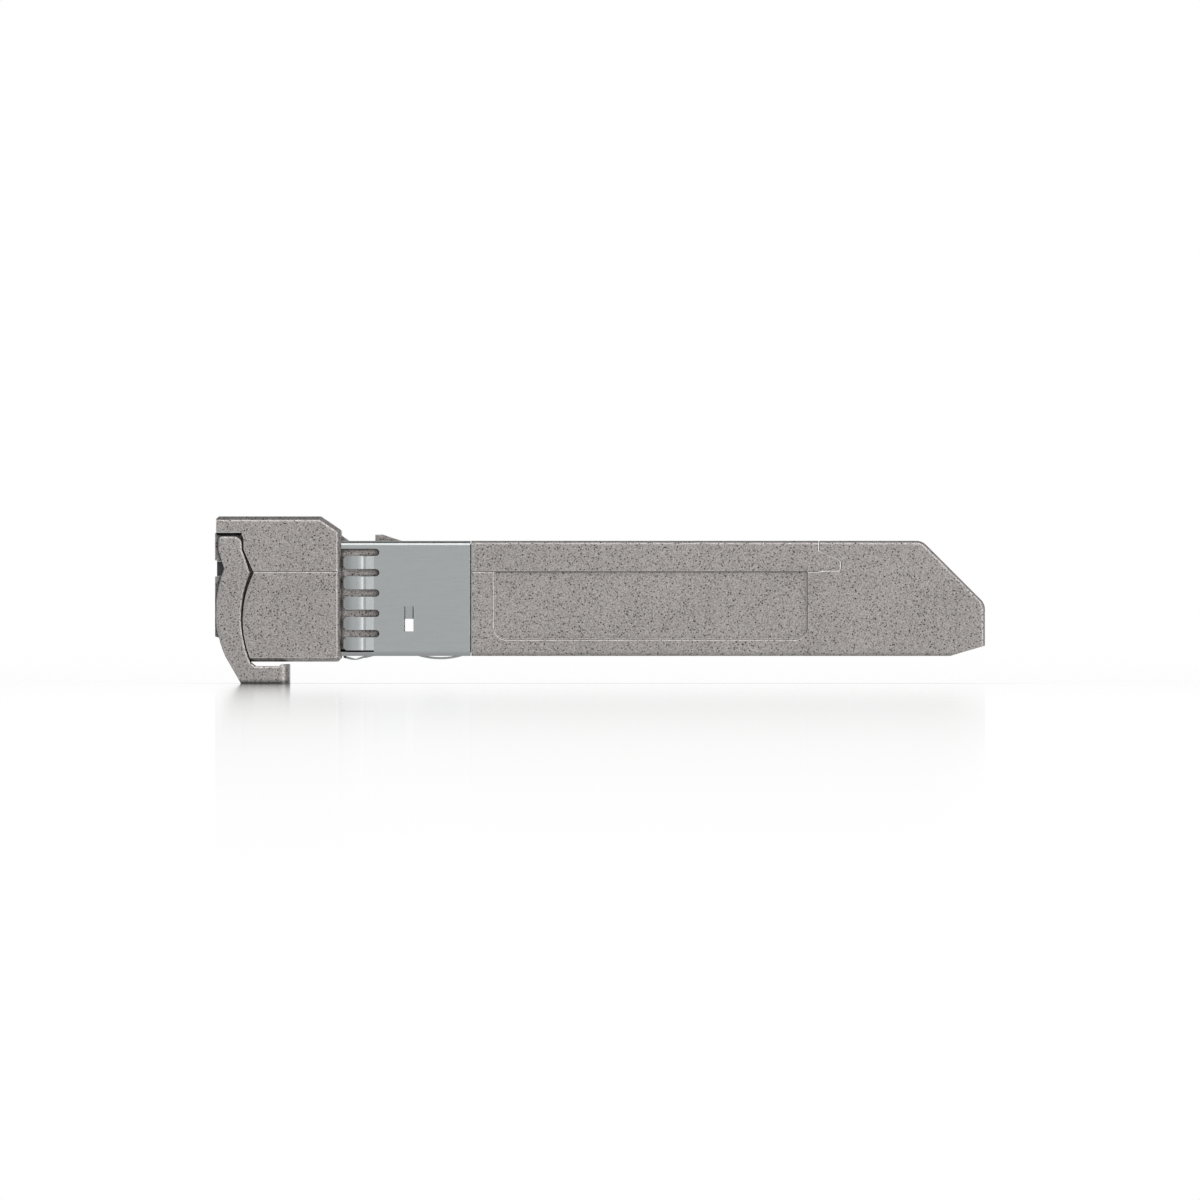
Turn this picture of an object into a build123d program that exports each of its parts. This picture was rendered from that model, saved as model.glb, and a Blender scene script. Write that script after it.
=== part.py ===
from build123d import *
from math import cos, radians, sin
import os

# Pluggable optical transceiver with two fibre ports. X runs from the nose (-X) to the card
# edge (+X), Y across the width and Z up, with the latch boss on top and the lever's tab at
# the bottom. The origin is in the middle of the footprint, level with the tab's underside.

# Lengths along X
nose_length = 9.3
stop_to_latch = 2.5
latch_to_rear = 45.0
front_x = -(nose_length + stop_to_latch + latch_to_rear) / 2
stop_x = front_x + nose_length
latch_x = stop_x + stop_to_latch
rear_x = latch_x + latch_to_rear

# Walls and clearances of the castings
tab_thickness = 1.27
tab_gap = 0.34
body_step = 0.42
nose_floor = 0.72
nose_roof = 0.33
nose_cover = 2.37
nose_wall = 0.48
bay_wall = 1.1
bay_gap = 0.175
bay_roof = 0.3
bay_roof_gap = 0.1
side_wall = 0.95
floor_wall = 0.9
skirt_wall = 0.7
board_depth = 2.25
edge_round = 0.3
nose_chamfer = 0.3
nose_soft_edge = 0.05
lip_height = 1.86
lip_slope = (0.5, 0.17)
lip_notch_rise = (1.63, 2.78)
lip_notch_depth = 0.14
nose_toe = 1.1
nose_slope_length = 1.5
nose_slope_drop = 1.02
seat_gap = 0.02
casting_gap = 0.09
parting_bevel = (0.05, 0.1)
cut_margin = 1.0

# Fibre ports
port_pitch = 6.25
port_width = 4.75
port_height = 4.7
catch_slot_width = 2.6
catch_slot_height = 1.25
port_wall = 0.35
port_setback = 0.14
port_depth = 6.56
port_back_wall = 1.5
barrel_hole_gap = 0.05
nose_bottom = tab_thickness + tab_gap
port_block_bottom = nose_bottom + nose_floor + seat_gap
axis_z = port_block_bottom + port_wall + catch_slot_height + port_height / 2
port_block_top = axis_z + port_height / 2 + port_wall
port_axis_y = port_pitch / 2
port_block_half = port_axis_y + port_width / 2 + port_wall
port_front_x = front_x + port_setback
port_floor_x = port_front_x + port_depth
port_back_x = port_floor_x + port_back_wall

# Optics
barrel_radius = 1.45
barrel_reach = 2.9
barrel_end_length = 0.8
flange_setback = 0.85
flange_radius = 2.2
flange_thickness = 0.6
groove_length = 0.85
groove_radius = 1.5
groove_gap = 0.06
clamp_gap = 0.05
clamp_seat = 0.35
sleeve_radius = 0.8
sleeve_inset = 0.2
ferrule_radius = 0.625
sleeve_length = 4.8
can_radius = 2.3
can_neck = 0.35
can_header = 0.7
can_length = 2.0
receiver_can_length = 1.9
lead_length = 0.75
lead_size = 0.35
lead_circle = 0.9
flex_thickness = 0.12
flex_width = 3.6
flex_drop = 1.5
flex_bend = 0.35
flex_overlap = 2.6
optics_radius = max(can_radius, flange_radius)
barrel_tip_x = port_floor_x - barrel_reach
sleeve_x = barrel_tip_x + sleeve_inset
flange_x = port_back_x + flange_setback
groove_x = flange_x + flange_thickness
barrel_end_x = groove_x + groove_length + flange_thickness + barrel_end_length
bay_half = port_axis_y + optics_radius + bay_gap
bay_top = axis_z + optics_radius + bay_roof_gap

# Bail lever. The arm's outline is a wave, given by its distances from the nose's front.
arm_thickness = 0.6
arm_side_gap = 0.05
arm_edge = 0.05
arm_edge_angle = 65
arm_front = 0.25
arm_head_width = 1.73
arm_head_rise = 0.89
arm_shoulder_drop = 0.06
arm_waist = (0.69, 1.51)
arm_knee = (2.57, 1.805)
arm_belly_front = 0.05
arm_belly_back = 1.92
arm_shin = (0.75, 0.73)
arm_heel = (2.61, 0.26)
arm_toe = 1.91
arm_foot = 2.95
recess_gap = 0.13
knee_gap = 0.17
arm_top_groove = (0.09, 1.4)
recess_rise = 0.27
lever_setback = 1.06
lever_swing = 90.0
tab_reach = 5.48
tab_lip = 0.15
tab_lip_length = 0.6
tab_lip_slope = 0.2
tab_corner = 0.75
recess_floor_y = port_block_half + seat_gap + nose_wall
arm_inner_y = recess_floor_y + arm_side_gap
nose_half = arm_inner_y + arm_thickness
tab_end = front_x + tab_reach

# Lever shaft and cam
shaft_radius = 0.35
shaft_cover = 0.15
running_gap = 0.04
cam_base_radius = 0.55
cam_width = 1.6
cam_gap = 0.05
cam_floor_gap = 0.06
nose_channel_z = port_block_top + seat_gap + nose_roof
lever_x = front_x + lever_setback
lever_z = nose_channel_z + cam_floor_gap + cam_base_radius
lever_top = lever_z + arm_head_rise
nose_top = lever_z + nose_cover
recess_top = lever_top + recess_rise

# Latch rocker
rocker_width = 2.6
rocker_thickness = 0.6
rocker_swing = 5.0
boss_height = 0.47
boss_flat = 0.6
boss_ramp = 1.4
boss_end_gap = 0.4
rocker_sink = 0.08
rocker_fall = 1.41
rocker_fall_end = 0.71
rocker_joggle = 0.21
rocker_pin_setback = 5.6
rocker_pin_radius = 0.35
rocker_eye_radius = 0.7
rocker_side_gap = 0.3
pin_seat_depth = 1.4
pin_seat_gap = 0.005
spring_room = 0.85
spring_sheet = 0.12
spring_width = 1.6
spring_top_gap = 0.03
spring_foot = 1.2
spring_tip = 0.6
neck_channel_lead = 0.3
tail_z = lever_z + cam_base_radius + cam_gap
rocker_pin_x = latch_x - rocker_pin_setback
rocker_pin_z = tail_z + rocker_thickness / 2
rocker_half = rocker_width / 2
channel_half = rocker_half + rocker_side_gap
boss_end_x = latch_x + boss_flat + boss_ramp

# Body
neck_channel_z = bay_top + bay_roof
rocker_arm_z = neck_channel_z + spring_room
body_bottom = nose_bottom + body_step
body_top = rocker_arm_z + rocker_thickness + rocker_sink
body_height = body_top - body_bottom
body_half = bay_half + bay_wall
body_width = 2 * body_half
parting_z = body_top - board_depth
cavity_floor = body_bottom + floor_wall

# Spring collar
collar_length = 9.52
collar_sheet = 0.15
collar_gap = 0.12
collar_end_gap = 0.08
collar_seat = 0.05
collar_corner = 0.38
collar_seam = 0.12
finger_count = 5
finger_margin = 1.0
finger_width = 0.96
finger_length = 2.25
finger_tip_gap = 0.17
finger_bulge = 0.44
finger_bend = 1.6
finger_corner = 0.2
finger_slot_extra = 0.4
finger_rise = 0.41
under_finger_width = 1.5
under_finger_margin = 3.15
bow_count = 3
bow_start = 3.17
bow_length = 3.3
bow_width = 1.4
bow_margin = 1.7
bow_side_gap = 0.15
bow_bulge = 0.25
lock_start = 2.17
lock_length = 0.67
lock_height = 1.86
lock_rise = 1.81
lock_bend = 0.22
lock_gap = 0.1
finger_pitch = (body_height - finger_margin) / finger_count
under_finger_pitch = (body_width - under_finger_margin) / finger_count
bow_pitch = (body_width - bow_margin) / bow_count
lowest_finger_z = body_bottom + finger_rise
lock_x = latch_x + lock_start
lock_z = body_bottom + lock_rise
collar_end_x = stop_x + collar_length
neck_inset = collar_sheet + collar_gap
neck_half = body_half - neck_inset
root_x = stop_x + finger_tip_gap + finger_length

# Rear end
skirt_chamfer = 4.64
skirt_round = 1.0
board_setback = 3.2
board_showing = 7.2
tongue_to_mouth = 1.87
tongue_reach = 1.6
tongue_height = 0.8
tongue_slope = 0.7
tongue_round = 0.25
mouth_floor_drop = 2.0
mouth_wall = 1.0
tail_chamfer_length = 2.57
tail_chamfer_rise = 0.75
board_end_x = rear_x - board_setback
mouth_x = board_end_x - board_showing
tongue_x = mouth_x - tongue_to_mouth
panel_front_margin = 1.83
panel_rear_margin = 0.88
panel_start = collar_end_x + panel_front_margin
panel_end = tongue_x - panel_rear_margin
panel_depth = 0.1
panel_rise = 1.25
panel_round = 0.85
panel_draft = 40
label_depth = 0.1
label_margin = 1.1
label_round = 0.6

# Circuit board
board_thickness = 1.0
board_lead_gap = 0.95
board_corner = 0.4
board_bevel = 0.25
board_gap = 0.05
board_ledge = 0.6
board_screw_gap = 0.15
pocket_wall = 1.5
pocket_inset = 0.7
card_width = 9.2
card_step_setback = 0.7
board_front_x = barrel_end_x + can_length + lead_length + board_lead_gap
board_half = body_half - side_wall - board_gap
board_bottom = parting_z - board_thickness
contact_count = 10
contact_pitch = 0.8
contact_width = 0.55
contact_length = 2.9
contact_inset = 0.3
contact_thickness = 0.05

# Parts on the board
chip_height = 0.9
chip_bevel = 0.12
driver_size = 3.6
amplifier_size = 4.0
controller_size = 5.0
memory_size = 3.0
memory_height = 0.7
driver_setback = 9.0
amplifier_setback = 16.5
controller_setback = 23.5
memory_setback = 12.0
inductor_setback = 4.2
row_setback = 5.0
driver_x = board_front_x + driver_setback
amplifier_x = board_front_x + amplifier_setback
controller_x = board_front_x + controller_setback
memory_x = board_front_x + memory_setback
capacitor_size = (1.0, 0.5, 0.5)
resistor_size = (1.0, 0.5, 0.35)
inductor_size = (1.6, 1.6, 0.9)
row_count = 8
row_step = 1.9
row_start = board_front_x + row_setback
capacitor_inset = 2.1
resistor_inset = 1.1
capacitor_y = board_half - capacitor_inset
resistor_y = board_half - resistor_inset
inductor_x = board_front_x + inductor_setback
inductor_y = 1.4
pad_thickness = 0.85
pad_size = (4.4, 4.0)
pedestal_margin = 0.4
pad_bottom = board_bottom - chip_height - pad_thickness
absorber_thickness = 0.6
absorber_width = 7.0

# Screws
post_radius = 1.35
screw_setback = 1.5
screw_inset = 1.4
screw_radius = 0.75
screw_head_radius = 1.4
screw_head_height = 0.65
screw_length = 5.4
screw_gap = 0.1
screw_slot = (1.5, 0.35, 0.3)
screw_x = tongue_x - screw_setback
screw_y = board_half - screw_inset


def outline(points, rounds=None):
    """Makes a closed flat outline and rounds the listed corners."""
    face = make_face(Polyline(*points, close=True))
    for index, radius in (rounds or {}).items():
        corner = face.vertices().sort_by_distance(points[index])[0]
        face = fillet(corner, radius)
    return face


def across(face, y_from, y_to):
    """Extrudes a side outline, drawn in X and height, between two Y values."""
    plane = Plane((0, y_to, 0), x_dir=(1, 0, 0), z_dir=(0, -1, 0))
    return extrude(plane * face, y_to - y_from)


def along(face, x_from, x_to):
    """Extrudes an end outline, drawn in Y and height, between two X values."""
    plane = Plane((x_from, 0, 0), x_dir=(0, 1, 0), z_dir=(1, 0, 0))
    return extrude(plane * face, x_to - x_from)


def upward(face, z_from, z_to):
    """Extrudes a plan outline between two heights."""
    return extrude(Pos(0, 0, z_from) * face, z_to - z_from)


def block(x_span, y_span, z_span):
    """Makes a plain block between three pairs of limits."""
    spans = (x_span, y_span, z_span)
    centre = [(low + high) / 2 for low, high in spans]
    return Pos(*centre) * Box(*[high - low for low, high in spans])


def rod(radius, x, z, y_from, y_to):
    """Makes a round bar across the width."""
    return across(Pos(x, z) * Circle(radius), y_from, y_to)


def both_sides(shape):
    """Gives a shape together with its mirror image on the other side."""
    return shape + mirror(shape, Plane.XZ)


def turned(profile, y):
    """Turns a half profile, drawn in X and radius, about a port's axis."""
    face = make_face(Polyline(*profile, close=True))
    return Pos(0, y, axis_z) * revolve(face, Axis.X)


def nose_blank():
    """The nose's side profile, with chamfered outer edges and the lever's side recesses."""
    lip_z = nose_bottom + lip_height
    notch_low, notch_high = [axis_z + rise for rise in lip_notch_rise]
    notch_x = front_x + lip_notch_depth
    top_front = front_x + 0.08
    face = outline([
        (front_x, lip_z),
        (front_x, notch_low),
        (notch_x, notch_low),
        (notch_x, notch_high),
        (front_x, notch_high),
        (front_x, recess_top),
        (top_front, recess_top),
        (top_front, nose_top - 0.2),
        (top_front + 0.2, nose_top),
        (stop_x - nose_slope_length, nose_top),
        (stop_x, nose_top - nose_slope_drop),
        (stop_x, nose_bottom + 0.25),
        (stop_x - 0.25, nose_bottom),
        (front_x + nose_toe, nose_bottom),
        (front_x + lip_slope[0], lip_z - lip_slope[1]),
    ])
    blank = across(face, -nose_half, nose_half)
    sides = blank.faces().sort_by(Axis.Y)
    side_edges = [
        edge
        for side in (sides[0], sides[-1])
        for edge in side.edges()
        if edge.center().X > front_x + nose_toe
    ]
    blank = chamfer(side_edges, nose_chamfer)
    sides = blank.faces().sort_by(Axis.Y)
    upper_edges = [
        edge
        for side in (sides[0], sides[-1])
        for edge in side.edges()
        if edge.center().Z > nose_top - nose_slope_drop and edge.center().X > front_x + arm_head_width
    ]
    blank = chamfer(upper_edges, nose_soft_edge)
    recess = across(lever_recess(), recess_floor_y, nose_half + cut_margin)
    lip_notch = block(
        (front_x, front_x + arm_waist[0] + recess_gap),
        (port_block_half, nose_half),
        (notch_low, notch_high),
    )
    groove = block(
        (front_x + arm_top_groove[0], front_x + arm_front + arm_head_width),
        (nose_half - arm_top_groove[1], nose_half),
        (lever_top + arm_top_groove[0], recess_top),
    )
    return blank - both_sides(recess) - both_sides(lip_notch) - both_sides(groove)


def arm_back(gap):
    """The corners of the arm's back edge, from the head down to the heel, moved by a gap."""
    top_x = front_x + arm_front + arm_head_width + gap
    knee = (front_x + arm_knee[0] + gap + (knee_gap if gap else 0), lever_z - arm_knee[1])
    heel = (front_x + arm_heel[0] + gap, tab_thickness + arm_heel[1])
    belly = (front_x + arm_belly_back + gap, (knee[1] + heel[1]) / 2)
    return top_x, knee, belly, heel


def lever_recess():
    """The side recess that the lever's arm closes into, open at the front and below."""
    left = front_x - cut_margin
    right, knee, belly, heel = arm_back(recess_gap)
    shoulder_z = lever_z - arm_shoulder_drop
    below = (heel[0] + 0.3, nose_bottom - cut_margin)
    edges = [
        Line((left, recess_top), (right, recess_top)),
        Line((right, recess_top), (right, shoulder_z)),
        Line((right, shoulder_z), knee),
        ThreePointArc(knee, belly, heel),
        Line(heel, below),
        Line(below, (left, below[1])),
        Line((left, below[1]), (left, recess_top)),
    ]
    face = make_face(edges)
    corner = face.vertices().sort_by_distance((right, recess_top))[0]
    return fillet(corner, 0.5)


def body_blank():
    """The body behind the nose, with the neck that the collar wraps and the rear chamfers."""
    shoulder_x = collar_end_x + collar_end_gap
    face = outline(
        [
            (shoulder_x, body_bottom),
            (shoulder_x, body_top),
            (rear_x - skirt_chamfer, body_top),
            (rear_x, body_top - skirt_chamfer),
            (rear_x, body_bottom + tail_chamfer_rise),
            (rear_x - tail_chamfer_length, body_bottom),
        ],
        {2: skirt_round, 3: skirt_round},
    )
    body = across(face, -body_half, body_half)
    body = fillet(body.edges().filter_by(Axis.X), edge_round)
    return body + along(neck_outline(), stop_x - cut_margin, shoulder_x)


def neck_outline():
    """The end outline of the neck that the collar wraps."""
    corner = collar_corner - collar_sheet
    neck = Rectangle(2 * neck_half, body_height - 2 * neck_inset)
    neck = chamfer(neck.vertices(), corner)
    return Pos(0, (body_bottom + body_top) / 2) * neck


def collar_outline(inset=0):
    """The end outline of the collar, or of its inside."""
    width, height = body_width - 2 * inset, body_height - 2 * inset
    return Pos(0, (body_bottom + body_top) / 2) * RectangleRounded(width, height, collar_corner - inset)


def shell_blank():
    """The nose and body in one, with a shallow step for the collar's front edge."""
    step = along(collar_outline() - neck_outline(), stop_x - collar_seat, stop_x)
    return nose_blank() + body_blank() - step


def upper_region(gap):
    """The side outline of everything above the parting, with the tongue at its rear end."""
    front, top = front_x - cut_margin, nose_top + cut_margin
    tongue_tip = tongue_x + tongue_reach + gap
    tongue_top = parting_z + tongue_height
    return outline(
        [
            (front, parting_z),
            (tongue_tip, parting_z),
            (tongue_tip, tongue_top),
            (tongue_x + gap, tongue_top + tongue_slope),
            (tongue_x + gap, top),
            (front, top),
        ],
        {1: tongue_round, 2: tongue_round},
    )


def port_seat():
    """The pocket through both castings that holds the port block."""
    half = port_block_half + seat_gap
    return block(
        (front_x - cut_margin, port_back_x + seat_gap),
        (-half, half),
        (port_block_bottom - seat_gap, port_block_top + seat_gap),
    )


def main_casting():
    """The label-side half, with the board's ledges, the rear skirts and the screw posts."""
    outside = nose_half + cut_margin
    casting = shell_blank() - across(upper_region(casting_gap), -outside, outside)
    casting -= port_seat()

    low, high = body_bottom + panel_rise, parting_z + cut_margin
    corners = [(panel_start, low), (panel_end, low), (panel_end, high), (panel_start, high)]
    panel = outline(corners, {0: panel_round, 1: panel_round})
    panel_floor = Plane((0, panel_depth - body_half, 0), x_dir=(1, 0, 0), z_dir=(0, -1, 0))
    casting -= both_sides(extrude(panel_floor * panel, panel_depth, taper=-panel_draft))
    for half, x_span in ((nose_half, (front_x, stop_x)), (body_half, (collar_end_x, tongue_x))):
        bevel = outline([
            (half - parting_bevel[0], parting_z),
            (half + casting_gap, parting_z),
            (half, parting_z - parting_bevel[1]),
        ])
        casting -= both_sides(along(bevel, *x_span))

    casting -= block(
        (port_back_x - port_back_wall / 3, board_front_x),
        (-bay_half, bay_half),
        (cavity_floor, parting_z + cut_margin),
    )
    room_half = board_half - board_ledge
    casting -= block(
        (board_front_x - board_lead_gap, mouth_x - mouth_wall),
        (-room_half, room_half),
        (cavity_floor, parting_z),
    )
    seat_half = board_half + board_gap
    seat_end = mouth_x - card_step_setback + board_gap
    casting -= block(
        (board_front_x - board_gap, seat_end), (-seat_half, seat_half), (board_bottom, parting_z)
    )
    card_half = card_width / 2 + board_gap
    casting -= block(
        (mouth_x - mouth_wall, mouth_x + cut_margin), (-card_half, card_half), (board_bottom, parting_z)
    )

    inner_half = body_half - skirt_wall
    behind, above = rear_x + cut_margin, body_top + cut_margin
    casting -= block((tongue_x - tongue_reach, behind), (-inner_half, inner_half), (parting_z, above))
    mouth_floor = board_bottom - mouth_floor_drop
    casting -= block((mouth_x, behind), (-inner_half, inner_half), (mouth_floor, above))
    label = RectangleRounded(panel_end - panel_start, 2 * (body_half - label_margin), label_round)
    label = Pos((panel_end + panel_start) / 2, 0) * label
    casting -= upward(label, body_bottom - cut_margin, body_bottom + label_depth)

    half_x, half_y = pad_size[0] / 2 + pedestal_margin, pad_size[1] / 2 + pedestal_margin
    for x in (driver_x, amplifier_x):
        casting += block((x - half_x, x + half_x), (-half_y, half_y), (cavity_floor, pad_bottom))
    for y in (-screw_y, screw_y):
        place = Pos(screw_x, y)
        casting += upward(place * Circle(post_radius), cavity_floor, board_bottom)
        casting -= upward(place * Circle(screw_radius), body_top - screw_length, body_top)
    lock_window = block(
        (lock_x - 2 * lock_gap, lock_x + lock_length + lock_gap),
        (bay_half - lock_gap, body_half),
        (lock_z, lock_z + lock_height + lock_gap),
    )
    casting -= both_sides(lock_window)
    clamp_half = bay_half + clamp_seat + clamp_gap
    return casting - block(
        (groove_x + clamp_gap, groove_x + groove_length - clamp_gap),
        (-clamp_half, clamp_half),
        (cavity_floor, parting_z),
    )


def latch_side_casting():
    """The latch-side half, with the open channel that the latch rocker works in."""
    outside, above = nose_half + cut_margin, nose_top + cut_margin
    casting = shell_blank() & across(upper_region(0), -outside, outside)
    casting -= port_seat()
    channel = (-channel_half, channel_half)
    casting -= block((front_x - cut_margin, stop_x), channel, (nose_channel_z, above))
    channel_end = boss_end_x + boss_end_gap
    casting -= block((stop_x - neck_channel_lead, channel_end), channel, (neck_channel_z, above))
    casting -= block(
        (port_back_x - port_back_wall / 3, board_front_x + pocket_wall),
        (-bay_half, bay_half),
        (parting_z - cut_margin, bay_top),
    )
    pocket_half = board_half - pocket_inset
    casting -= block(
        (board_front_x + 2 * pocket_wall, screw_x - post_radius - pocket_inset),
        (-pocket_half, pocket_half),
        (parting_z - cut_margin, body_top - floor_wall),
    )
    casting -= rod(shaft_radius + running_gap, lever_x, lever_z, -outside, outside)

    seat_half = channel_half + pin_seat_depth
    casting -= rod(rocker_pin_radius, rocker_pin_x, rocker_pin_z, -seat_half, seat_half)
    pin_span = (rocker_pin_x - rocker_pin_radius, rocker_pin_x + rocker_pin_radius)
    casting -= block(pin_span, (-seat_half, seat_half), (rocker_pin_z, above))
    hole_radius, head_radius = screw_radius + screw_gap, screw_head_radius + screw_gap
    top = (Align.CENTER, Align.CENTER, Align.MAX)
    for y in (-screw_y, screw_y):
        place = Pos(screw_x, y, body_top)
        casting -= place * Cylinder(hole_radius, 2 * board_depth, align=top)
        casting -= place * Cylinder(head_radius, screw_head_height, align=top)
    return casting


def port_block():
    """The moulded block with two fibre ports, their catch slots and the barrels' holes."""
    middle = (port_block_bottom + port_block_top) / 2
    height = port_block_top - port_block_bottom
    body = along(Pos(0, middle) * Rectangle(2 * port_block_half, height), port_front_x, port_back_x)
    for y in (-port_axis_y, port_axis_y):
        port = Pos(y, axis_z) * Rectangle(port_width, port_height)
        catch = Rectangle(catch_slot_width, 2 * catch_slot_height)
        port += Pos(y, axis_z - port_height / 2) * catch
        body -= along(port, port_front_x, port_floor_x)
        barrel_hole = Pos(y, axis_z) * Circle(barrel_radius + barrel_hole_gap)
        body -= along(barrel_hole, port_floor_x, port_back_x)
    lip_z = nose_bottom + lip_height
    return body - across(
        outline([
            (front_x, lip_z),
            (port_front_x, lip_z),
            (front_x + lip_slope[0] + port_setback, lip_z - lip_slope[1]),
            (front_x + nose_toe + port_setback, nose_bottom),
            (front_x, nose_bottom),
        ]),
        -port_block_half,
        port_block_half,
    )


def lever_side():
    """The lever's side outline: a waved arm that runs down into the tab."""
    left = front_x + arm_front
    lip_z = tab_thickness + tab_lip
    waist = (front_x + arm_waist[0], lever_z - arm_waist[1])
    shin = (front_x + arm_shin[0], tab_thickness + arm_shin[1])
    front_belly = (front_x + arm_belly_front, (waist[1] + shin[1]) / 2)
    right, knee, back_belly, heel = arm_back(0)
    shoulder_z = lever_z - arm_shoulder_drop
    foot = Polyline(
        shin,
        (front_x + arm_toe, 0),
        (tab_end, 0),
        (tab_end, lip_z),
        (tab_end - tab_lip_length, lip_z),
        (tab_end - tab_lip_length - tab_lip_slope, tab_thickness),
        (front_x + arm_foot, tab_thickness),
        heel,
    )
    face = make_face([
        Line((left, lever_top), (left, shoulder_z)),
        Line((left, shoulder_z), waist),
        ThreePointArc(waist, front_belly, shin),
        *foot.edges(),
        ThreePointArc(heel, back_belly, knee),
        Line(knee, (right, shoulder_z)),
        Line((right, shoulder_z), (right, lever_top)),
        Line((right, lever_top), (left, lever_top)),
    ])
    corners = {(left, lever_top): 0.3, (right, lever_top): 0.6, knee: 0.2, waist: 0.4}
    for point, radius in corners.items():
        face = fillet(face.vertices().sort_by_distance(point)[0], radius)
    return face


def bail_lever():
    """The cast lever: two waved arms and the tab that joins them under the nose."""
    side = lever_side()
    straight = nose_half - arm_edge
    plane = Plane((0, -straight, 0), x_dir=(1, 0, 0), z_dir=(0, -1, 0))
    bevelled = extrude(plane * side, arm_edge, taper=arm_edge_angle)
    lever = across(side, -straight, straight) + both_sides(bevelled)
    inside = (-arm_inner_y, arm_inner_y)
    heel_x = front_x + arm_foot + 0.25
    lever -= block((front_x - cut_margin, heel_x), inside, (tab_thickness, lever_top + cut_margin))
    corner = Rectangle(tab_corner, tab_corner, align=(Align.MAX, Align.MAX))
    corner -= Pos(-tab_corner, -tab_corner) * Circle(tab_corner)
    corner = Pos(tab_end, nose_half) * corner
    lever -= both_sides(upward(corner, -cut_margin, lever_z))
    hole_end = nose_half - shaft_cover
    return lever - rod(shaft_radius, lever_x, lever_z, -hole_end, hole_end)


def lever_shaft():
    """The steel shaft that joins the two arms and turns in the nose."""
    half = nose_half - shaft_cover
    return rod(shaft_radius, lever_x, lever_z, -half, half)


def latch_cam():
    """The cam on the shaft. Its face is the curve that lifts a flat tail evenly."""
    lift = (rocker_pin_x - lever_x) * sin(radians(rocker_swing))
    slope = lift / radians(lever_swing)
    steps = 6
    face_points = []
    for step in range(steps + 1):
        turn = radians(lever_swing) * step / steps
        reach = cam_base_radius + slope * turn
        x = -slope * cos(turn) - reach * sin(turn)
        z = -slope * sin(turn) + reach * cos(turn)
        face_points.append((x, z))
    first, last = face_points[0], face_points[-1]
    top, bottom = (0, cam_base_radius), (0, -cam_base_radius)
    toe = (0.85 * last[0], -0.9 * cam_base_radius)
    profile = make_face([
        Line(top, first),
        Spline(*face_points),
        Line(last, toe),
        Line(toe, bottom),
        ThreePointArc(bottom, (cam_base_radius, 0), top),
    ])
    profile -= Circle(shaft_radius)
    return across(Pos(lever_x, lever_z) * profile, -cam_width / 2, cam_width / 2)


def latch_rocker():
    """The rocker: a tail over the cam, an eye on the pin and the wedge-shaped boss."""
    tail_top = tail_z + rocker_thickness
    arm_top = rocker_arm_z + rocker_thickness
    fall_end = stop_x + rocker_fall_end
    fall_start = fall_end - (tail_top - arm_top) * rocker_fall
    boss_top = body_top + boss_height
    profile = outline([
        (port_front_x, tail_z),
        (port_front_x, tail_top),
        (fall_start, tail_top),
        (fall_end, arm_top),
        (latch_x, arm_top),
        (latch_x, boss_top),
        (latch_x + boss_flat, boss_top),
        (boss_end_x, body_top),
        (boss_end_x, rocker_arm_z),
        (fall_end - rocker_joggle, rocker_arm_z),
        (fall_start - rocker_joggle, tail_z),
    ])
    eye = Pos(rocker_pin_x, rocker_pin_z)
    profile += eye * Circle(rocker_eye_radius)
    profile -= eye * Circle(rocker_pin_radius + running_gap)
    return across(profile, -rocker_half, rocker_half)


def rocker_pin():
    """The rocker's pin, seated in saddles in the channel's walls."""
    half = channel_half + pin_seat_depth
    return rod(rocker_pin_radius - pin_seat_gap, rocker_pin_x, rocker_pin_z, -half, half)


def latch_leaf_spring():
    """The leaf under the rocker's arm that pushes the boss back out."""
    crest = rocker_arm_z - spring_top_gap - spring_sheet
    line = [
        (stop_x + boss_end_gap, neck_channel_z),
        (stop_x + boss_end_gap + spring_foot, neck_channel_z),
        (boss_end_x - spring_tip, crest),
        (boss_end_x, crest - spring_sheet),
    ]
    top = [(x, z + spring_sheet) for x, z in reversed(line)]
    return across(outline(line + top), -spring_width / 2, spring_width / 2)


def finger_line(level, side):
    """A spring finger's section: a rising root, a crest and a dropping free tip."""
    shape = [(0, 0), (0.26, 0.34), (0.34, 0.34), (0.62, 0.86), (1.0, 0.3)]
    outer = [(root_x - finger_length * s, level + side * finger_bulge * b) for s, b in shape]
    inner = [(x, y - side * collar_sheet) for x, y in reversed(outer)]
    return outline(outer + inner, {3: finger_bend})


def cut_tip(finger, sheet_axis):
    """Takes the corners off a spring finger's free tip."""
    tip_edges = finger.edges().filter_by(sheet_axis).group_by(Axis.X)[0]
    return chamfer(tip_edges, finger_corner)


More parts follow.
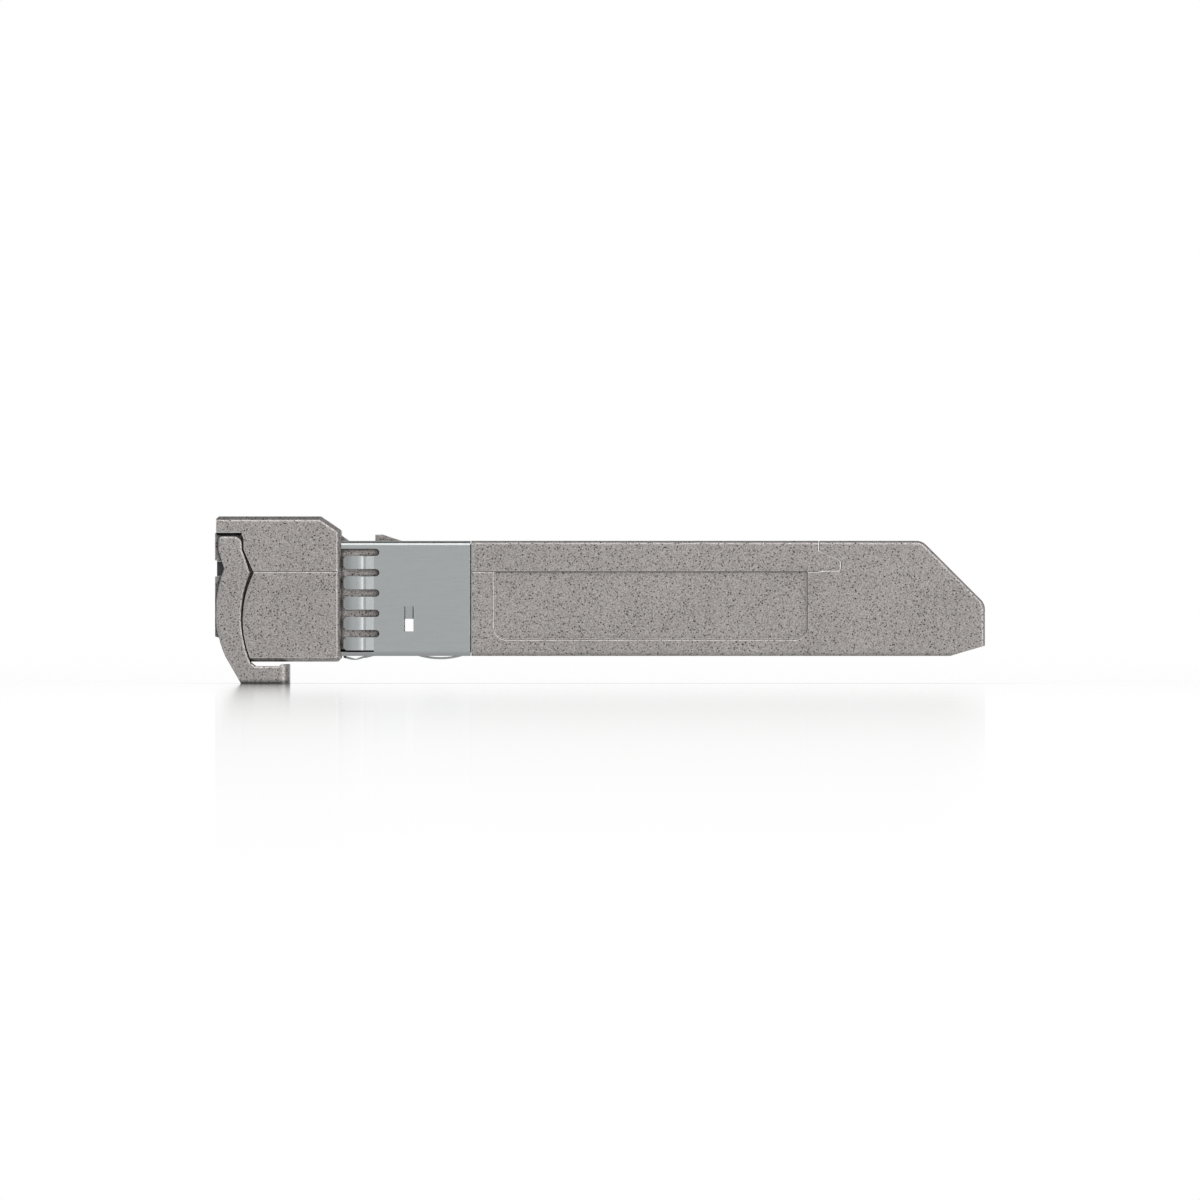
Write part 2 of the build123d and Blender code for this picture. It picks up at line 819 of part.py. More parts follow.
def emi_collar():
    """The sheet-steel collar: a folded band with formed fingers, bows and a locking tab."""
    collar = along(collar_outline() - collar_outline(collar_sheet), stop_x, collar_end_x)
    inner_y = body_half - collar_sheet
    outside = (body_half - cut_margin, body_half + cut_margin)
    below = (body_bottom - cut_margin, body_bottom + cut_margin)
    slot_width = finger_pitch - finger_width
    slot_end = root_x + finger_slot_extra - slot_width / 2

    last_slot_z = lowest_finger_z + finger_count * finger_pitch
    side_cut = block((stop_x - cut_margin, root_x), outside, (lowest_finger_z - collar_seam, last_slot_z))
    for index in range(finger_count):
        slot_z = lowest_finger_z + index * finger_pitch + finger_width
        side_cut += block((stop_x, slot_end), outside, (slot_z, slot_z + slot_width))
        side_cut += rod(slot_width / 2, slot_end, slot_z + slot_width / 2, *outside)
    window = (lock_x, lock_x + lock_length)
    side_cut += block(window, outside, (lock_z, lock_z + lock_height))
    collar -= both_sides(side_cut)

    fingers = []
    for index in range(finger_count):
        low = lowest_finger_z + index * finger_pitch
        finger = upward(finger_line(body_half, 1), low, low + finger_width)
        fingers.append(cut_tip(finger, Axis.Y))
    flap_z = lock_z + lock_height / 2
    lock_flap = outline([
        (body_half, lock_z + lock_height + collar_sheet),
        (inner_y, lock_z + lock_height + collar_sheet),
        (inner_y, lock_z + lock_height),
        (inner_y - lock_bend, flap_z),
        (inner_y - lock_bend + collar_sheet, flap_z),
        (body_half, lock_z + lock_height),
    ])
    fingers.append(along(lock_flap, window[0] + lock_gap / 2, window[1] - lock_gap / 2))
    for finger in fingers:
        collar += both_sides(finger)

    under_half = (finger_count - 1) / 2 * under_finger_pitch + under_finger_width / 2
    cut_half = under_half + 2 * bow_side_gap
    collar -= block((stop_x - cut_margin, root_x), (-cut_half, cut_half), below)
    for index in range(finger_count):
        low = -under_half + index * under_finger_pitch
        finger = across(finger_line(body_bottom, -1), low, low + under_finger_width)
        collar += cut_tip(finger, Axis.Z)

    bow_x = latch_x + bow_start
    middle_x, bow_end_x = bow_x + bow_length / 2, bow_x + bow_length
    for index in range(bow_count):
        y = (index - (bow_count - 1) / 2) * bow_pitch
        low, high = y - bow_width / 2, y + bow_width / 2
        collar -= block((bow_x, bow_end_x), (low - bow_side_gap, high + bow_side_gap), below)
        lines = []
        for z in (body_bottom, body_bottom + collar_sheet):
            lines.append(ThreePointArc((bow_x, z), (middle_x, z - bow_bulge), (bow_end_x, z)))
        ends = [Line(lines[0] @ t, lines[1] @ t) for t in (0, 1)]
        collar += across(make_face(lines + ends), low, high)

    notch_end = boss_end_x + boss_end_gap
    above = (body_top - cut_margin, body_top + cut_margin)
    collar -= block((stop_x - cut_margin, notch_end), (-channel_half, channel_half), above)
    seam_half = collar_seam / 2
    return collar - block((notch_end, collar_end_x), (-seam_half, seam_half), above)


def barrel(y):
    """A turned steel barrel with two flanges and a bore for the ceramic sleeve."""
    bore_end = sleeve_x + sleeve_length
    second_x = groove_x + groove_length
    return turned(
        [
            (barrel_tip_x, sleeve_radius),
            (barrel_tip_x, barrel_radius),
            (flange_x, barrel_radius),
            (flange_x, flange_radius),
            (groove_x, flange_radius),
            (groove_x, groove_radius),
            (second_x, groove_radius),
            (second_x, flange_radius),
            (barrel_end_x, flange_radius),
            (barrel_end_x, 0),
            (bore_end, 0),
            (bore_end, sleeve_radius),
        ],
        y,
    )


def sleeve(y):
    """The ceramic sleeve that lines up the fibre's ferrule."""
    end = sleeve_x + sleeve_length
    return turned(
        [
            (sleeve_x, ferrule_radius),
            (sleeve_x, sleeve_radius),
            (end, sleeve_radius),
            (end, ferrule_radius),
        ],
        y,
    )


def can(y, length):
    """A sealed can on its header, with four leads to the flex."""
    end = barrel_end_x + length
    header = end - can_header
    neck_radius = can_radius - can_neck
    body = turned(
        [
            (barrel_end_x, 0),
            (barrel_end_x, neck_radius),
            (header, neck_radius),
            (header, can_radius),
            (end, can_radius),
            (end, 0),
        ],
        y,
    )
    offset_to_lead = lead_circle / 2**0.5
    for side_y in (-offset_to_lead, offset_to_lead):
        for side_z in (-offset_to_lead, offset_to_lead):
            lead = Pos(y + side_y, axis_z + side_z) * Rectangle(lead_size, lead_size)
            body += along(lead, header, end + lead_length)
    return body


def flex(y, length):
    """The flexible circuit from a can's leads to the board's underside."""
    start = barrel_end_x + length + lead_length
    end = board_front_x + flex_overlap
    low, inside_bend = board_bottom - flex_thickness, flex_bend + flex_thickness / 2
    points = [
        (start, axis_z - flex_drop),
        (start, board_bottom - flex_bend),
        (start + flex_bend, board_bottom),
        (end, board_bottom),
        (end, low),
        (start + inside_bend, low),
        (start + flex_thickness, board_bottom - inside_bend),
        (start + flex_thickness, axis_z - flex_drop),
    ]
    return across(outline(points), y - flex_width / 2, y + flex_width / 2)


def optics_clamp():
    """The plate that holds both barrels by their grooves, open on the latch side."""
    half_width = bay_half + clamp_seat
    middle_z = (cavity_floor + parting_z) / 2
    plate = Pos(0, middle_z) * Rectangle(2 * half_width, parting_z - cavity_floor)
    cut_radius = groove_radius + groove_gap
    for y in (-port_axis_y, port_axis_y):
        plate -= Pos(y, axis_z) * Circle(cut_radius)
        plate -= Pos(y, axis_z + cut_radius) * Rectangle(2 * cut_radius, 2 * cut_radius)
    return along(plate, groove_x + 2 * clamp_gap, groove_x + groove_length - 2 * clamp_gap)


def circuit_board():
    """The board, narrowed to the card edge at the rear, with holes for the cover screws."""
    step_x = mouth_x - card_step_setback
    card_half = card_width / 2
    half_plan = outline([
        (board_front_x, 0),
        (board_front_x, board_half),
        (step_x, board_half),
        (step_x, card_half),
        (board_end_x - board_corner, card_half),
        (board_end_x, card_half - board_corner),
        (board_end_x, 0),
    ])
    half_plan -= Pos(screw_x, screw_y) * Circle(screw_radius + board_screw_gap)
    board = both_sides(upward(half_plan, board_bottom, parting_z))
    end_edges = board.edges().filter_by(Axis.Y).group_by(Axis.X)[-1]
    return chamfer(end_edges, board_bevel)


def edge_contacts():
    """Twenty gold contacts, ten on each face of the card edge."""
    end = board_end_x - contact_inset
    pads = []
    for index in range(contact_count):
        y = (index - (contact_count - 1) / 2) * contact_pitch
        span = (y - contact_width / 2, y + contact_width / 2)
        x_span = (end - contact_length, end)
        pads.append(block(x_span, span, (parting_z, parting_z + contact_thickness)))
        pads.append(block(x_span, span, (board_bottom - contact_thickness, board_bottom)))
    return Compound(children=pads)


def chip(x, width, height, on_top=False):
    """A moulded chip package with a bevelled upper rim, on either face of the board."""
    package = Box(width, width, height, align=(Align.CENTER, Align.CENTER, Align.MIN))
    package = chamfer(package.faces().sort_by(Axis.Z)[-1].edges(), chip_bevel)
    if on_top:
        return Pos(x, 0, parting_z) * package
    return Pos(x, 0, board_bottom) * Rot(180, 0, 0) * package


def small_parts(places, size):
    """A group of like small parts on the board's underside."""
    length, width, height = size
    body = Box(length, width, height, align=(Align.CENTER, Align.CENTER, Align.MAX))
    return Compound(children=[Pos(x, y, board_bottom) * body for x, y in places])


def cover_screws():
    """Two slotted screws with sunk heads that close the halves at the rear."""
    top = (Align.CENTER, Align.CENTER, Align.MAX)
    screw = Cylinder(screw_radius, screw_length, align=top)
    screw += Cylinder(screw_head_radius, screw_head_height, align=top)
    screw -= Box(*screw_slot, align=top)
    return Compound(children=[Pos(screw_x, y, body_top) * screw for y in (-screw_y, screw_y)])


rows = [row_start + row_step * index for index in range(row_count)]
capacitor_places = [(x, y) for x in rows for y in (-capacitor_y, capacitor_y)]
resistor_places = [(x, y) for x in rows for y in (-resistor_y, resistor_y)]
inductor_places = [(inductor_x, y) for y in (-inductor_y, inductor_y)]
pad_half_x, pad_half_y = pad_size[0] / 2, pad_size[1] / 2
pad_span = (pad_bottom, board_bottom - chip_height)
pads = [
    block((x - pad_half_x, x + pad_half_x), (-pad_half_y, pad_half_y), pad_span)
    for x in (driver_x, amplifier_x)
]
absorber_top = body_top - floor_wall
absorber_span = (memory_x + memory_size, screw_x - 2 * post_radius)

nodes = {
    "main_casting": main_casting(),
    "latch_side_casting": latch_side_casting(),
    "port_block": port_block(),
    "emi_collar": emi_collar(),
    "bail_lever": bail_lever(),
    "lever_shaft": lever_shaft(),
    "latch_cam": latch_cam(),
    "latch_rocker": latch_rocker(),
    "rocker_pin": rocker_pin(),
    "latch_leaf_spring": latch_leaf_spring(),
    "laser_barrel": barrel(-port_axis_y),
    "laser_sleeve": sleeve(-port_axis_y),
    "laser_can": can(-port_axis_y, can_length),
    "laser_flex": flex(-port_axis_y, can_length),
    "receiver_barrel": barrel(port_axis_y),
    "receiver_sleeve": sleeve(port_axis_y),
    "receiver_can": can(port_axis_y, receiver_can_length),
    "receiver_flex": flex(port_axis_y, receiver_can_length),
    "optics_clamp": optics_clamp(),
    "circuit_board": circuit_board(),
    "edge_contacts": edge_contacts(),
    "laser_driver_chip": chip(driver_x, driver_size, chip_height),
    "receiver_amplifier_chip": chip(amplifier_x, amplifier_size, chip_height),
    "microcontroller_chip": chip(controller_x, controller_size, chip_height),
    "memory_chip": chip(memory_x, memory_size, memory_height, on_top=True),
    "capacitors": small_parts(capacitor_places, capacitor_size),
    "resistors": small_parts(resistor_places, resistor_size),
    "inductors": small_parts(inductor_places, inductor_size),
    "thermal_pads": Compound(children=pads),
    "absorber_pad": block(
        absorber_span,
        (-absorber_width / 2, absorber_width / 2),
        (absorber_top - absorber_thickness, absorber_top),
    ),
    "cover_screws": cover_screws(),
}

os.makedirs("parts", exist_ok=True)
for name, shape in nodes.items():
    export_step(shape, f"parts/{name}.step")
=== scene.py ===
from math import pi, radians

import bmesh
import bpy
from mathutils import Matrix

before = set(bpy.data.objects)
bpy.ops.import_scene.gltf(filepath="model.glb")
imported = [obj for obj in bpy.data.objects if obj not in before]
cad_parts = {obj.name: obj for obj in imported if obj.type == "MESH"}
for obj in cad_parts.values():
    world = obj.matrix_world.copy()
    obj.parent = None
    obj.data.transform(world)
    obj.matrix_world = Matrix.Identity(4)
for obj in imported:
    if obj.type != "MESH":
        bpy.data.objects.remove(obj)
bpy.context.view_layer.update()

# Castings: the main casting, the latch-side casting that closes it, the bail lever and the
# latch rocker. All are die-cast zinc, tumbled after casting: a warm grey with a fine grain
# and small dark pits. Edges are lightened, partly as tumbling wear and partly as a painted
# highlight, and narrow gaps are darkened with painted shade.


def linear(code):
    """Turns a screen colour such as "a39e9a" into linear red, green, blue and alpha."""
    shares = [int(code[i:i + 2], 16) / 255 for i in (0, 2, 4)]
    return [s / 12.92 if s <= 0.04045 else ((s + 0.055) / 1.055) ** 2.4 for s in shares] + [1.0]


def per_metre(size_mm):
    """Gives a pattern's scale from the real size of one grain in millimetres."""
    return 1000.0 / size_mm


def node(tree, kind, settings=None, **inputs):
    """Adds a shader node with its settings, and fills or links its inputs.

    A setting called stops fills the node's colour ramp. An input goes by its name, with _ for
    a space, or by its number after a leading _.
    """
    made = tree.nodes.new("ShaderNode" + kind)
    for name, value in (settings or {}).items():
        if name == "stops":
            elements = made.color_ramp.elements
            while len(elements) < len(value):
                elements.new(0.5)
            for element, (place, code) in zip(elements, value):
                element.position = place
                element.color = linear(code)
        else:
            setattr(made, name, value)
    for name, value in inputs.items():
        key = int(name[1:]) if name[0] == "_" else name.replace("_", " ")
        if isinstance(value, bpy.types.NodeSocket):
            tree.links.new(value, made.inputs[key])
        else:
            made.inputs[key].default_value = value
    return made


def new_material(name):
    """Starts an empty material and gives it with its tree and its object coordinates."""
    material = bpy.data.materials.new(name)
    material.use_nodes = True
    tree = material.node_tree
    tree.nodes.clear()
    return material, tree, node(tree, "TexCoord").outputs["Object"]


def dress(material, *names):
    """Gives a material to the named CAD nodes."""
    for name in names:
        mesh = bpy.data.objects[name].data
        mesh.materials.clear()
        mesh.materials.append(material)


pit_spacing_mm = 0.1923
grain_mm = 0.09524
cloud_mm = 3.846
edge_rub_and_highlight_radius = 0.00006
painted_shade_reach = 0.0004
pit_depth = 0.00001
cast, tree, where = new_material("cast_zinc")
turned = node(tree, "Mapping", Vector=where, Rotation=(0.61, 0.35, 0.87)).outputs[0]
# The patterns are turned off the axes, so that no face cuts along a plane of their cells.
pits = node(tree, "TexVoronoi", Vector=turned, Scale=per_metre(pit_spacing_mm))
hole = node(
    tree, "MapRange", Value=pits.outputs["Distance"],
    From_Min=0.2, From_Max=0.38, To_Min=1.0, To_Max=0.0,
)
chance = node(tree, "SeparateColor", Color=pits.outputs["Color"])
share = node(
    tree, "MapRange", Value=chance.outputs["Red"],
    From_Min=0.05, From_Max=0.85, To_Min=0.1, To_Max=1.0,
)
pitted = node(
    tree, "Math", {"operation": "MULTIPLY"}, _0=hole.outputs[0], _1=share.outputs[0],
).outputs[0]
grains = node(
    tree, "TexNoise", Vector=turned, Scale=per_metre(grain_mm), Detail=2.0, Roughness=0.6,
)
grain_tones = [(0.34, "777371"), (0.5, "979391"), (0.66, "afaba8")]
grain = node(tree, "ValToRGB", {"stops": grain_tones}, Fac=grains.outputs["Fac"])
peppered = node(tree, "MixRGB", Fac=pitted, Color1=grain.outputs[0], Color2=linear("262423"))
cloud = node(
    tree, "TexNoise", Vector=turned, Scale=per_metre(cloud_mm), Detail=2.0, Roughness=0.5,
)
cloud_tones = [(0.3, "f6f6f6"), (0.7, "ffffff")]
patch = node(tree, "ValToRGB", {"stops": cloud_tones}, Fac=cloud.outputs["Fac"])
clouded = node(
    tree, "MixRGB", {"blend_type": "MULTIPLY"}, Fac=1.0,
    Color1=peppered.outputs[0], Color2=patch.outputs[0],
)
# Where the rounded normal leaves the flat one, the edge is lightened: partly the rub of the
# tumbling, partly a painted highlight.
edge = node(tree, "Bevel", {"samples": 6}, Radius=edge_rub_and_highlight_radius)
face = node(tree, "NewGeometry").outputs["Normal"]
turn = node(tree, "VectorMath", {"operation": "DOT_PRODUCT"}, _0=edge.outputs[0], _1=face)
rubbed_and_highlit_edges = node(
    tree, "MapRange", Value=turn.outputs["Value"],
    From_Min=0.998, From_Max=0.955, To_Min=0.0, To_Max=0.82,
).outputs[0]
bright = node(tree, "MixRGB", Fac=rubbed_and_highlit_edges, Color1=clouded.outputs[0], Color2=linear("e6e2de"))
# Painted shade: ambient occlusion darkens the colour in narrow gaps, crevices and steps.
painted_gap_shade = node(tree, "AmbientOcclusion", {"samples": 6}, Distance=painted_shade_reach)
painted_shade_tones = [(0.1, "3c3c3c"), (0.7, "a0a0a0"), (0.95, "ffffff")]
painted_shade = node(tree, "ValToRGB", {"stops": painted_shade_tones}, Fac=painted_gap_shade.outputs["AO"])
tone = node(
    tree, "MixRGB", {"blend_type": "MULTIPLY"}, Fac=1.0,
    Color1=bright.outputs[0], Color2=painted_shade.outputs[0],
)
satin = node(
    tree, "MapRange", Value=pitted, From_Min=0.0, From_Max=1.0, To_Min=0.42, To_Max=0.6,
)
rough = node(tree, "MixRGB", Fac=rubbed_and_highlit_edges, Color1=satin.outputs[0], Color2=linear("888888"))
bump = node(
    tree, "Bump", {"invert": True}, Height=pitted, Normal=edge.outputs[0],
    Strength=0.3, Distance=pit_depth,
)
zinc = node(
    tree, "BsdfPrincipled", Base_Color=tone.outputs[0], Metallic=0.9,
    Roughness=rough.outputs[0], Normal=bump.outputs[0],
)
node(tree, "OutputMaterial", Surface=zinc.outputs[0])
dress(cast, "main_casting", "latch_side_casting", "bail_lever", "latch_rocker")

# Circuit board: glass laminate under green solder resist, held on ledges in the castings.
# The resist is smooth, with a paler and slightly raised track behind each contact.
contact_pitch = 0.0008
wave_turn = 2.0 * pi / 20.0    # a wave texture of scale 1 repeats after this length
resist, tree, where = new_material("solder_resist")
tracks = node(
    tree, "TexWave", {"bands_direction": "Y"}, Vector=where,
    Scale=wave_turn / contact_pitch, Phase_Offset=-pi / 2.0,
)
resist_tones = [(0.0, "124526"), (0.78, "134827"), (0.86, "23693c"), (1.0, "23693c")]
tone = node(tree, "ValToRGB", {"stops": resist_tones}, Fac=tracks.outputs["Fac"])
bump = node(tree, "Bump", Height=tracks.outputs["Fac"], Strength=0.2, Distance=0.00003)
coated = node(
    tree, "BsdfPrincipled", Base_Color=tone.outputs[0], Roughness=0.34, Coat_Weight=0.2,
    Normal=bump.outputs[0],
)
node(tree, "OutputMaterial", Surface=coated.outputs[0])
dress(resist, "circuit_board")

# Chips, resistors and inductors: soldered on the board. Their packages are moulded epoxy,
# black and dull, and the grit of the filler is drawn coarser than real so that it shows.
filler_mm = 0.1429
epoxy, tree, where = new_material("chip_epoxy")
filler = node(tree, "TexNoise", Vector=where, Scale=per_metre(filler_mm), Detail=2.0)
epoxy_tones = [(0.3, "1c1c1d"), (0.7, "29292a")]
tone = node(tree, "ValToRGB", {"stops": epoxy_tones}, Fac=filler.outputs["Fac"])
moulded = node(tree, "BsdfPrincipled", Base_Color=tone.outputs[0], Roughness=0.6)
node(tree, "OutputMaterial", Surface=moulded.outputs[0])
dress(epoxy, "laser_driver_chip", "receiver_amplifier_chip", "microcontroller_chip")
dress(epoxy, "memory_chip", "resistors", "inductors")

# Capacitors: small blocks of brown fired ceramic, soldered on the board. The surface is
# even and dull, and its grain is drawn coarser than real.
fired_grain_mm = 0.2
fired, tree, where = new_material("capacitor_ceramic")
grains = node(tree, "TexNoise", Vector=where, Scale=per_metre(fired_grain_mm), Detail=2.0)
fired_tones = [(0.3, "8c6a4c"), (0.7, "a58263")]
tone = node(tree, "ValToRGB", {"stops": fired_tones}, Fac=grains.outputs["Fac"])
block = node(tree, "BsdfPrincipled", Base_Color=tone.outputs[0], Roughness=0.5)
node(tree, "OutputMaterial", Surface=block.outputs[0])
dress(fired, "capacitors")

# Thermal and absorber pads: soft silicone rubber cut from sheet and pressed between the
# chips and the castings. Grey and very dull, with a slightly uneven skin.
skin_mm = 0.3846
rubber, tree, where = new_material("silicone_rubber")
skin = node(tree, "TexNoise", Vector=where, Scale=per_metre(skin_mm), Detail=3.0)
rubber_tones = [(0.3, "5b6570"), (0.7, "76818c")]
tone = node(tree, "ValToRGB", {"stops": rubber_tones}, Fac=skin.outputs["Fac"])
bump = node(tree, "Bump", Height=skin.outputs["Fac"], Strength=0.3, Distance=0.00004)
pad = node(
    tree, "BsdfPrincipled", Base_Color=tone.outputs[0], Roughness=0.75, Normal=bump.outputs[0],
)
node(tree, "OutputMaterial", Surface=pad.outputs[0])
dress(rubber, "thermal_pads", "absorber_pad")

# Flexible circuits: amber polyimide film from the cans' leads to the board's underside. It is
# satin and lets the copper tracks show through as paler stripes.
track_pitch = 0.000748
film, tree, where = new_material("polyimide_film")
tracks = node(
    tree, "TexWave", {"bands_direction": "Y"}, Vector=where, Scale=wave_turn / track_pitch,
)
film_tones = [(0.35, "8a4f16"), (0.6, "c0793a")]
tone = node(tree, "ValToRGB", {"stops": film_tones}, Fac=tracks.outputs["Fac"])
amber = node(tree, "BsdfPrincipled", Base_Color=tone.outputs[0], Roughness=0.35)
node(tree, "OutputMaterial", Surface=amber.outputs[0])
dress(film, "laser_flex", "receiver_flex")

# Cans and card-edge contacts: gold plate, on the cans' drawn steel and on the board's
# copper. Bright and warm, with a faint unevenness of the plating drawn coarser than real.
plating_mm = 0.2381
gold, tree, where = new_material("gold_plating")
plating = node(tree, "TexNoise", Vector=where, Scale=per_metre(plating_mm), Detail=2.0)
gold_tones = [(0.3, "dcb25a"), (0.7, "ecc878")]
tone = node(tree, "ValToRGB", {"stops": gold_tones}, Fac=plating.outputs["Fac"])
rough = node(
    tree, "MapRange", Value=plating.outputs["Fac"],
    From_Min=0.3, From_Max=0.7, To_Min=0.2, To_Max=0.32,
)
plated = node(
    tree, "BsdfPrincipled", Base_Color=tone.outputs[0], Metallic=1.0,
    Roughness=rough.outputs[0],
)
node(tree, "OutputMaterial", Surface=plated.outputs[0])
dress(gold, "laser_can", "receiver_can", "edge_contacts")

# Ferrule sleeves: tubes of white zirconia in the barrels, which line up the fibres. They are
# ground and polished, so they are glossy and nearly even in tone.
zirconia_mm = 0.6667
zirconia, tree, where = new_material("zirconia")
faint = node(tree, "TexNoise", Vector=where, Scale=per_metre(zirconia_mm), Detail=2.0)
zirconia_tones = [(0.3, "e4e0d6"), (0.7, "f0ede4")]
tone = node(tree, "ValToRGB", {"stops": zirconia_tones}, Fac=faint.outputs["Fac"])
polished = node(tree, "BsdfPrincipled", Base_Color=tone.outputs[0], Roughness=0.22)
node(tree, "OutputMaterial", Surface=polished.outputs[0])
dress(zirconia, "laser_sleeve", "receiver_sleeve")

# Port block: black moulded plastic, held between the castings at the nose. It is matte from
# the spark-eroded mould, whose texture is drawn coarser than real so that it shows.
spark_mm = 0.1538
plastic, tree, where = new_material("port_plastic")
spark = node(tree, "TexNoise", Vector=where, Scale=per_metre(spark_mm), Detail=3.0)
plastic_tones = [(0.3, "2a2a2d"), (0.7, "3c3c40")]
tone = node(tree, "ValToRGB", {"stops": plastic_tones}, Fac=spark.outputs["Fac"])
bump = node(tree, "Bump", Height=spark.outputs["Fac"], Strength=0.25, Distance=0.00003)
matte = node(
    tree, "BsdfPrincipled", Base_Color=tone.outputs[0], Roughness=0.55, Normal=bump.outputs[0],
)
node(tree, "OutputMaterial", Surface=matte.outputs[0])
dress(plastic, "port_block")

# Shaft, cam, rocker pin, cover screws, barrels and the plate that clamps them: turned or
# pressed steel, bright and satin, with tool marks drawn coarser than real.
mark_mm = 0.1923
steel, tree, where = new_material("turned_steel")
marks = node(tree, "TexNoise", Vector=where, Scale=per_metre(mark_mm), Detail=2.0)
steel_tones = [(0.3, "94979a"), (0.7, "aeb1b3")]
tone = node(tree, "ValToRGB", {"stops": steel_tones}, Fac=marks.outputs["Fac"])
rough = node(
    tree, "MapRange", Value=marks.outputs["Fac"],
    From_Min=0.3, From_Max=0.7, To_Min=0.24, To_Max=0.38,
)
bare = node(
    tree, "BsdfPrincipled", Base_Color=tone.outputs[0], Metallic=1.0,
    Roughness=rough.outputs[0],
)
node(tree, "OutputMaterial", Surface=bare.outputs[0])
dress(steel, "lever_shaft", "latch_cam", "rocker_pin", "cover_screws")
dress(steel, "laser_barrel", "receiver_barrel", "optics_clamp")

# Collar and leaf spring: stainless sheet, blanked and bent. The collar snaps around both
# castings and the spring lies under the rocker. Cool, smooth and satin, with a barely
# visible rolling grain along the sheet.
rolling_mm = 0.1111
rolling_stretch = 0.08
sheet_edge = 0.00004
sheet, tree, where = new_material("stainless_sheet")
along = node(tree, "Mapping", Vector=where, Scale=(rolling_stretch, 1.0, 1.0))
lines = node(
    tree, "TexNoise", Vector=along.outputs[0], Scale=per_metre(rolling_mm), Detail=2.0,
)
sheet_tones = [(0.3, "9c9f9f"), (0.7, "9fa2a2")]
tone = node(tree, "ValToRGB", {"stops": sheet_tones}, Fac=lines.outputs["Fac"])
rough = node(
    tree, "MapRange", Value=lines.outputs["Fac"],
    From_Min=0.3, From_Max=0.7, To_Min=0.27, To_Max=0.3,
)
edge = node(tree, "Bevel", {"samples": 6}, Radius=sheet_edge)
rolled = node(
    tree, "BsdfPrincipled", Base_Color=tone.outputs[0], Metallic=1.0,
    Roughness=rough.outputs[0], Normal=edge.outputs[0],
)
node(tree, "OutputMaterial", Surface=rolled.outputs[0])
dress(sheet, "emi_collar", "latch_leaf_spring")

# Stage: a pale studio table. It mirrors only at the flattest angles, and less the further
# away it is, and it has a painted contact shadow: its colour darkens a little under the object.
table_half = 9.0
mirror_fade = -1.6
mirror_sharpness = 9.0
mirror_gain = 1.12
painted_shadow_reach = 0.008
floor_mesh = bpy.data.meshes.new("floor")
shape = bmesh.new()
bmesh.ops.create_grid(shape, x_segments=1, y_segments=1, size=table_half)
shape.to_mesh(floor_mesh)
shape.free()
floor = bpy.data.objects.new("floor", floor_mesh)
bpy.context.scene.collection.objects.link(floor)
pale, tree, where = new_material("pale_floor")
apart = node(tree, "VectorMath", {"operation": "LENGTH"}, _0=where)
fade = node(tree, "Math", {"operation": "MULTIPLY"}, _0=apart.outputs["Value"], _1=mirror_fade)
near = node(tree, "Math", {"operation": "EXPONENT"}, _0=fade.outputs[0])
mirror = node(tree, "Fresnel", IOR=1.45)
flat = node(tree, "Math", {"operation": "POWER"}, _0=mirror.outputs[0], _1=mirror_sharpness)
gain = node(tree, "Math", {"operation": "MULTIPLY"}, _0=flat.outputs[0], _1=mirror_gain)
polish = node(
    tree, "Math", {"operation": "MULTIPLY", "use_clamp": True},
    _0=near.outputs[0], _1=gain.outputs[0],
)
# Painted contact shadow: ambient occlusion darkens the table's glow and mirror colour near the
# object.
painted_contact_shadow = node(
    tree, "AmbientOcclusion", {"samples": 8}, Color=linear("ffffff"), Distance=painted_shadow_reach,
)
floor_shadow_tones = [(0.0, "d0d0d0"), (1.0, "ffffff")]
shadowed_tint = node(tree, "ValToRGB", {"stops": floor_shadow_tones}, Fac=painted_contact_shadow.outputs["AO"])
glow = node(tree, "Emission", Color=shadowed_tint.outputs[0], Strength=1.0)
gloss = node(tree, "BsdfGlossy", Color=shadowed_tint.outputs[0], Roughness=0.03)
table = node(
    tree, "MixShader", Fac=polish.outputs[0], _1=glow.outputs[0], _2=gloss.outputs[0],
)
node(tree, "OutputMaterial", Surface=table.outputs[0])
floor_mesh.materials.append(pale)

# Soft studio light: a white room that is darker above and at the sides, so that bevels and
# bends stand out, with pale windows high on both sides and softboxes above the camera and to
# its right. The camera itself sees a white backdrop.
world = bpy.data.worlds.new("studio")
bpy.context.scene.world = world
world.use_nodes = True
tree = world.node_tree
tree.nodes.clear()
direction = node(tree, "SeparateXYZ", Vector=node(tree, "TexCoord").outputs["Generated"])
depth = node(tree, "Math", {"operation": "ABSOLUTE"}, _0=direction.outputs["Y"])
room_tones = [(0.0, "6e6e6e"), (0.42, "8a8a8a"), (0.68, "ffffff")]
room = node(tree, "ValToRGB", {"stops": room_tones}, Fac=depth.outputs[0])
left = node(
    tree, "MapRange", Value=direction.outputs["X"],
    From_Min=-0.5, From_Max=-0.18, To_Min=0.42, To_Max=1.06,
)
walls = node(tree, "Background", Color=room.outputs[0], Strength=left.outputs[0])
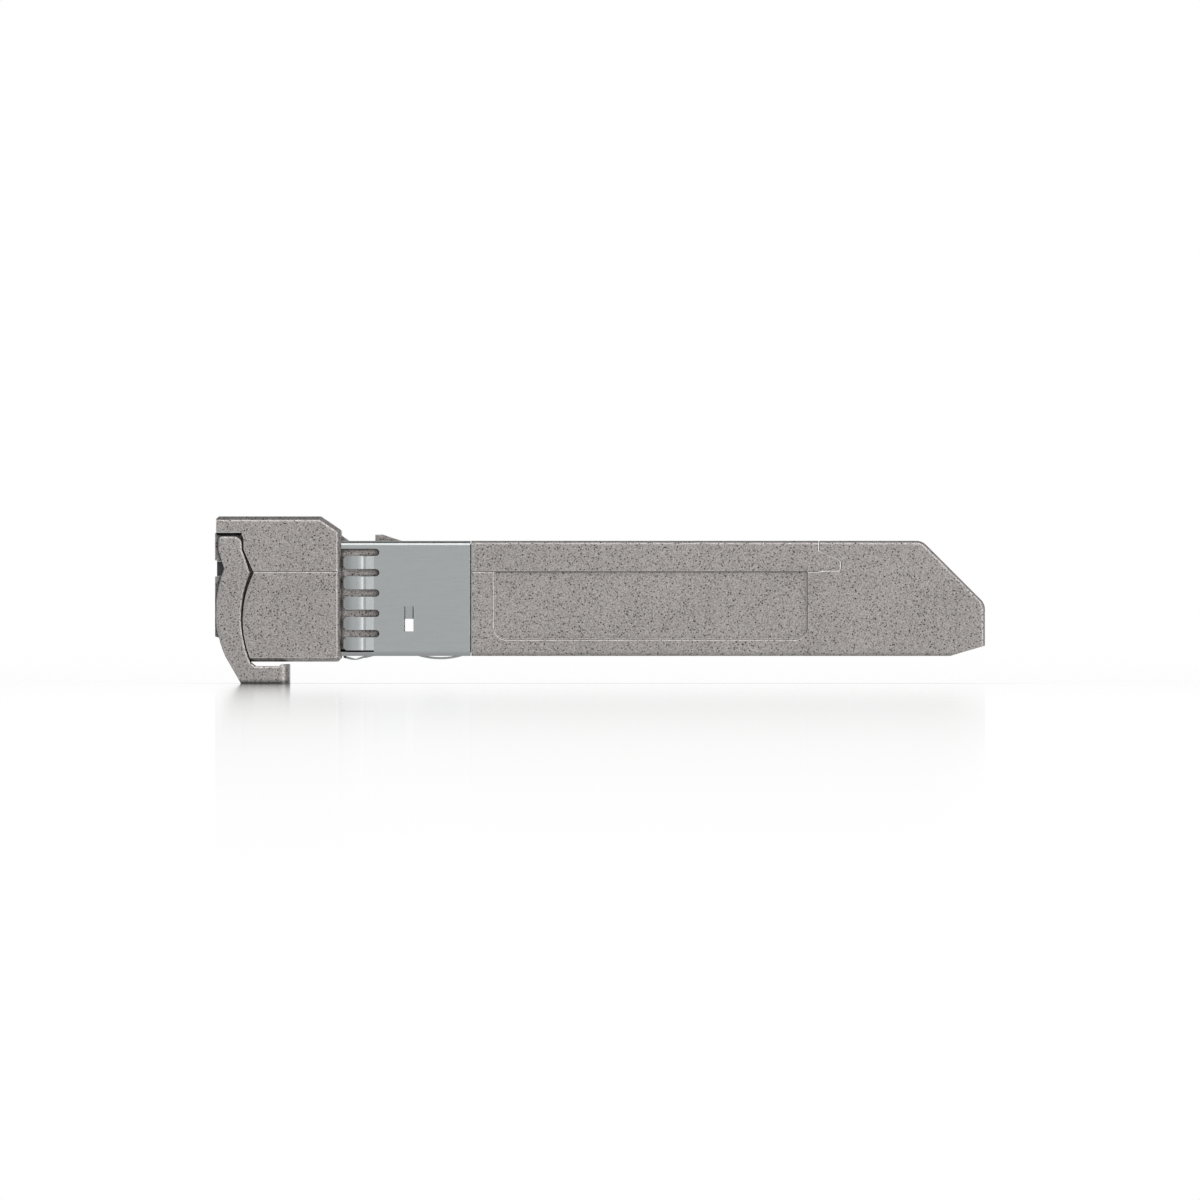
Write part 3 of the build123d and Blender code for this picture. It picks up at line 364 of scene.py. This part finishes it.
sideways = node(tree, "Math", {"operation": "ABSOLUTE"}, _0=direction.outputs["X"])
beside = node(
    tree, "MapRange", Value=sideways.outputs[0],
    From_Min=0.3, From_Max=0.75, To_Min=0.0, To_Max=1.0,
)
above = node(
    tree, "MapRange", Value=direction.outputs["Z"],
    From_Min=0.1, From_Max=0.35, To_Min=0.0, To_Max=1.0,
)
window = node(
    tree, "Math", {"operation": "MULTIPLY"}, _0=beside.outputs[0], _1=above.outputs[0],
)
panes = node(tree, "Background", Color=linear("d0d0d0"), Strength=0.8)
lit = node(tree, "MixShader", Fac=window.outputs[0], _1=walls.outputs[0], _2=panes.outputs[0])
backdrop = node(tree, "Background", Color=linear("ffffff"), Strength=1.0)
seen = node(tree, "LightPath").outputs["Is Camera Ray"]
studio = node(tree, "MixShader", Fac=seen, _1=lit.outputs[0], _2=backdrop.outputs[0])
node(tree, "OutputWorld", Surface=studio.outputs[0])


def softbox(name, place, turn_degrees, size, watts):
    """Adds one rectangular light."""
    light = bpy.data.lights.new(name, "AREA")
    light.shape = "RECTANGLE"
    light.size, light.size_y = size
    light.energy = watts
    lamp = bpy.data.objects.new(name, light)
    lamp.location = place
    lamp.rotation_euler = [radians(angle) for angle in turn_degrees]
    bpy.context.scene.collection.objects.link(lamp)


softbox("front_high", (0.0, -0.24, 0.24), (45, 0, 0), (0.7, 0.18), 0.97)
softbox("front_right", (0.22, -0.3, 0.02), (88, 0, 36), (0.1, 0.2), 0.14)
softbox("side_right", (0.29, -0.22, 0.02), (88, 0, 53), (0.05, 0.2), 0.35)

# Camera: level and straight at the side of the object, far away with a very long lens, as
# in the photograph.
camera_distance = 3.69495
camera_height = 0.00616
camera_data = bpy.data.cameras.new("camera")
camera_data.sensor_width = 36.0
camera_data.lens = 1500.0
camera_data.clip_start = 0.001
camera = bpy.data.objects.new("camera", camera_data)
camera.location = (0.0, -camera_distance, camera_height)
camera.rotation_euler = (radians(90), 0, 0)
bpy.context.scene.collection.objects.link(camera)
bpy.context.scene.camera = camera
bpy.context.scene.view_settings.view_transform = "Standard"
